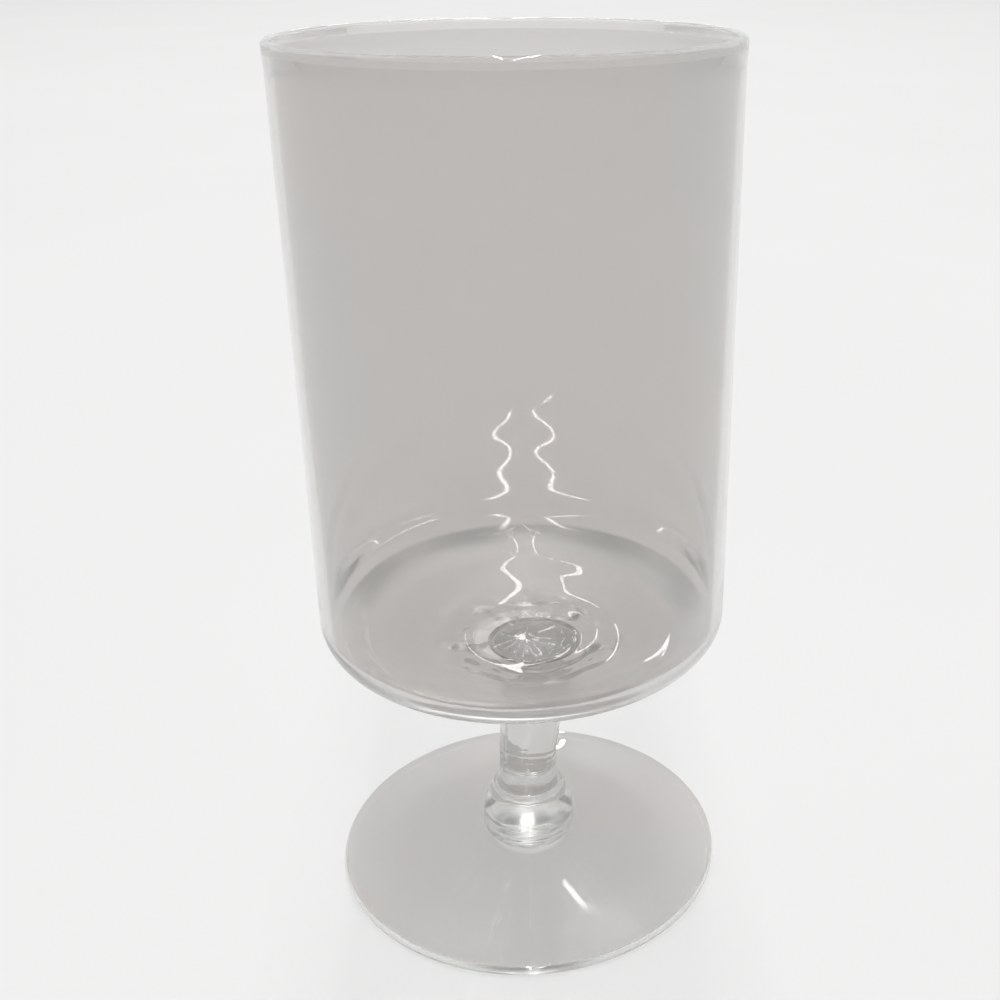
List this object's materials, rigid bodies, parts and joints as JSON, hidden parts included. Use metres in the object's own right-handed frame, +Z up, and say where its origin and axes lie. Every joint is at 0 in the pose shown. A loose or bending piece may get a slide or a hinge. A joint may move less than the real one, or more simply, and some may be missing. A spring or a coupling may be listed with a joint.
{
  "type": "liqueur glass",
  "caption": "Clear liqueur glass with a straight-sided round bowl on a short drawn stem, a bell-shaped knop and a flat round foot.",
  "frame": {"origin": "centre of the surface that the foot stands on", "axes": "+Z up the axis of the glass, from the foot to the rim; round about Z, so X and Y are alike"},
  "size_m": [0.045, 0.045, 0.0942],
  "materials": {
    "bowl_glass": "clear, thin-blown, fire-polished",
    "stem_glass": "clear, solid, fire-polished",
    "foot_glass": "clear, fire-polished, lightly scuffed where it rests"
  },
  "bodies": {
    "root": {"bowl": "bowl_glass", "stem": "stem_glass", "knop": "stem_glass", "foot": "foot_glass"}
  },
  "joints": []
}
